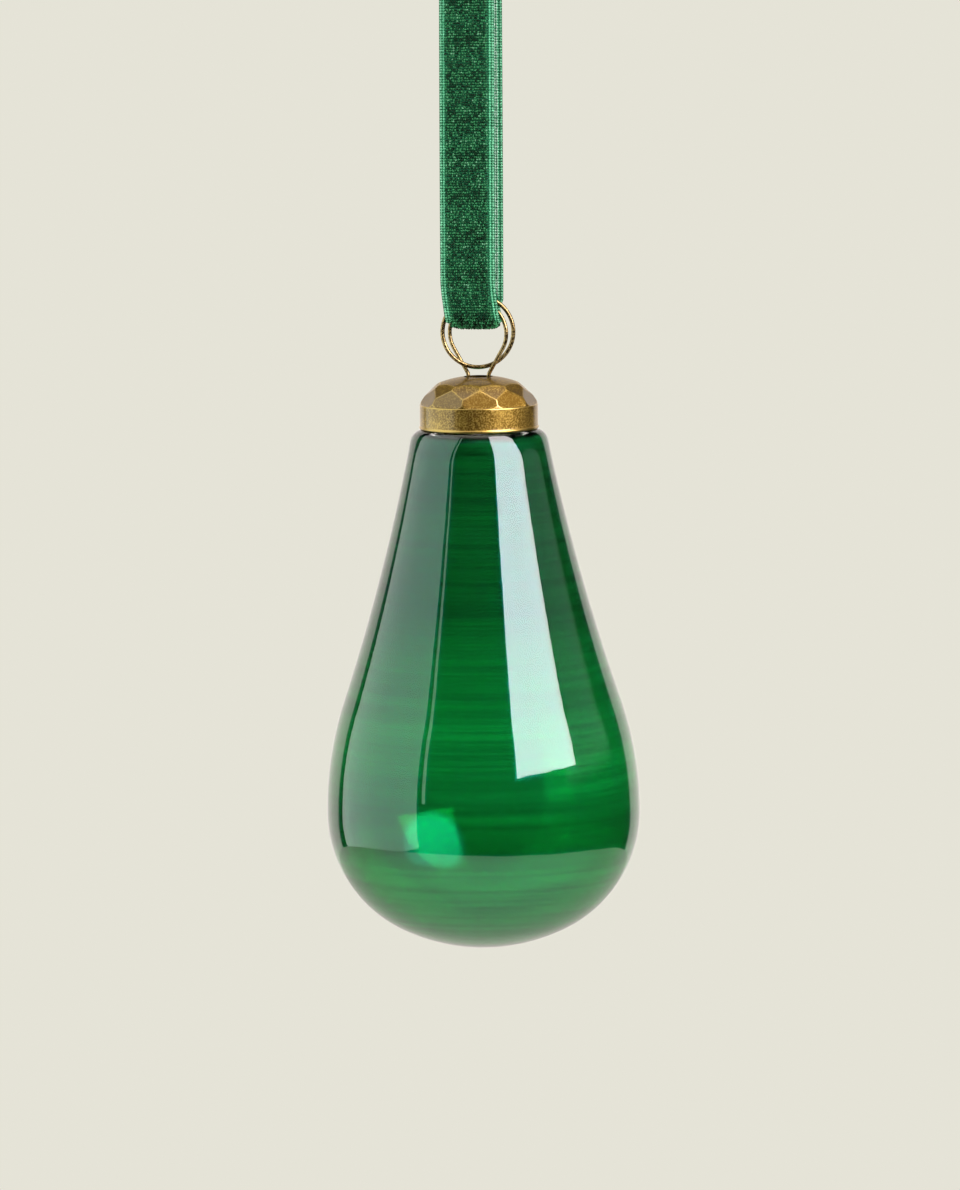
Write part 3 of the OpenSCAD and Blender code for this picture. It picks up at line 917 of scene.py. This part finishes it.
def beaded_cord(across, height, thin, thick, inside):
    """A tube along the ribbon that swells once for every row. One on the inside sinks in near the wires."""
    points, faces, beads = [], [], []
    for i, spot in enumerate(line):
        swell = 0.5 - 0.5 * math.cos(math.tau * i / ROW_STEPS)
        drawn_in = inside * (1 - ease(spot[0].y, WIRES_LOW, WIRES_HIGH))
        radius = (thin + (thick - thin) * swell) * (1 - SLIM * drawn_in)
        beads += [swell] * CORD_SIDES
        p = on_ribbon(spot, across, height + SINK * drawn_in)
        lift = (on_ribbon(spot, across, height + 1) - p).normalized()
        for k in range(CORD_SIDES):
            turn = heading(360 * k / CORD_SIDES)
            points.append(p + (SIDEWAYS * turn.x + lift * turn.y) * radius * MM)
    for i in range(len(line) - 1):
        this, following = i * CORD_SIDES, (i + 1) * CORD_SIDES
        for k in range(CORD_SIDES):
            j = (k + 1) % CORD_SIDES
            faces.append((this + k, this + j, following + j, following + k))
    last = len(points) - CORD_SIDES
    faces += [tuple(range(CORD_SIDES))[::-1], tuple(range(last, last + CORD_SIDES))]
    return points, faces, beads


def thread_finish(name, deep, pale):
    cord = finish_nodes(name)
    flecks = cord.grain(cord.place((3.0, 3.0, 3.0)), 1.0, 2.0)
    # Painted light and shade: each bead's swell is made paler and the neck between beads deeper, on top of
    # the thread's own flecks.
    share = flecks.step(0.38, 0.62) * 0.6 + cord.attribute("bead") * 0.65 - 0.15
    return cord.surface(cord.node("BsdfPrincipled", {}, {
        "Base Color": cord.blend(share, deep, pale), "Roughness": 0.5, "Specular IOR Level": 0.2}))


face_thread = thread_finish("face_thread", rgb(0.02, 0.36, 0.15), rgb(0.28, 0.92, 0.54))
edge_thread = thread_finish("edge_thread", rgb(0.007, 0.13, 0.05), rgb(0.34, 1.0, 0.60))
# The loops are pale thread, and are made paler still as painted light on the inside of the back strand,
# which faces the lamps.
loop_thread = thread_finish("loop_thread", rgb(0.03, 0.34, 0.15), rgb(0.75, 1.0, 0.85))
print("thread finishes:", face_thread.name, edge_thread.name, loop_thread.name)

# %% [markdown]
# Each edge has four cords: the chain and the edge cord on the face, and two chains of loops on the
# inside. The table gives their place across, their height in the cloth and their two half
# thicknesses. The ground, the pile and all the cords together ride on the ribbon's body.

# %% Selvage
CORDS = [
    ("chain", 0.835, -0.24, 0.13, 0.25, face_thread),
    ("edge", 0.945, -0.31, 0.13, 0.27, edge_thread),
    ("loop", 0.725, -0.50, 0.09, 0.18, loop_thread),
    ("purl", 0.80, -0.44, 0.09, 0.18, loop_thread),
]
INSIDE_BELOW = -0.4
for side_name, sign in (("left", -1), ("right", 1)):
    for name, share, level, thin, thick, finish in CORDS:
        points, faces, beads = beaded_cord(sign * share, level, thin, thick, level < INSIDE_BELOW)
        cord = make_piece(f"ribbon_{name}_{side_name}", points, faces, [finish],
                          "ribbon", corner=180)
        point_values(cord, "bead", beads)

# %% [markdown]
# The lapped ends are sewn through with eight stitches in two rows. Each is a closed link of
# two-ply thread: over the top layer, down through both, and back along the inside of the loop. The
# middle of the thread is a rounded rectangle, as a pulled-tight stitch is.

# %% Stitch outline
THREAD_D, STITCH_LEN = 0.4, 1.5
stitch_rise, stitch_round = RIBBON_T + THREAD_D * 0.2, THREAD_D * 0.7


def stitch_outline():
    """A rounded rectangle of the thread's middle, across the ribbon and through it."""
    half = STITCH_LEN / 2
    outline = []
    for cx, cy, start in ((1, 1, 0), (-1, 1, 90), (-1, -1, 180), (1, -1, 270)):
        corner = Vector((cx * (half - stitch_round), cy * (stitch_rise - stitch_round)))
        outline += arc(corner, stitch_round, start, start + 90, 6)
    ring = []
    for a, b in zip(outline, outline[1:] + outline[:1]):
        count = max(1, int((b - a).length / FINE_STEP))
        ring += [a.lerp(b, i / count) for i in range(count)]
    return ring


ring = stitch_outline()
print("stitch outline:", len(ring), "points")

# %% [markdown]
# Two plies twisted round each other make a thread that isn't round, so the tube laid along the
# outline has a wavy section that turns as it goes. Four such links stand in each row, one row near
# each end of the lap.

# %% Seam stitches
SEAM_INSET, STITCHES, STITCH_PITCH = 12, 4, RIBBON_W / 4.5
THREAD_SIDES, PLY_TWIST, PLY_WAVE = 8, 40, 0.16
stitch_points, stitch_faces = [], []


def add_stitch(middle, lift, beam):
    """One closed link of thread, given its middle, the way up through the cloth and the way along it."""
    first = len(stitch_points)
    for k, p in enumerate(ring):
        ahead = (ring[(k + 1) % len(ring)] - p).normalized()
        bow = SIDEWAYS * -ahead.y + lift * ahead.x
        centre = middle + SIDEWAYS * p.x + lift * p.y
        for s in range(THREAD_SIDES):
            twist = heading(360 * s / THREAD_SIDES + PLY_TWIST * k)
            ply = THREAD_D / 2 * (1 - PLY_WAVE + PLY_WAVE * math.cos(4 * math.pi * s / THREAD_SIDES))
            stitch_points.append((centre + (bow * twist.x + beam * twist.y) * ply) * MM)
    for k in range(len(ring)):
        this = first + k * THREAD_SIDES
        following = first + (k + 1) % len(ring) * THREAD_SIDES
        for s in range(THREAD_SIDES):
            t = (s + 1) % THREAD_SIDES
            stitch_faces.append((this + s, this + t, following + t, following + s))


for a in (LAP_START + SEAM_INSET, LAP_START + lap_turn - SEAM_INSET):
    out = heading(a)
    row = out * (ARCH_R + RIBBON_T)
    for i in range(STITCHES):
        aside = (i - (STITCHES - 1) / 2) * STITCH_PITCH + TOP_ASIDE
        middle = Vector((aside, row.x, row.y + ARCH_Z))
        add_stitch(middle, Vector((0, out.x, out.y)), Vector((0, -out.y, out.x)))

thread = finish_nodes("seam_thread_ply")
lint = thread.grain(thread.place(), 4.0, 2.0)
seam_ply = thread.surface(thread.node("BsdfPrincipled", {}, {
    "Base Color": thread.blend(lint, rgb(0.02, 0.13, 0.06), rgb(0.07, 0.30, 0.15)), "Roughness": 0.6}))
stitches = make_piece("seam_stitches", stitch_points, stitch_faces, [seam_ply],
                      "ribbon", corner=180)
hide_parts("seam_thread")
print("stitches:", len(stitch_faces), "faces")
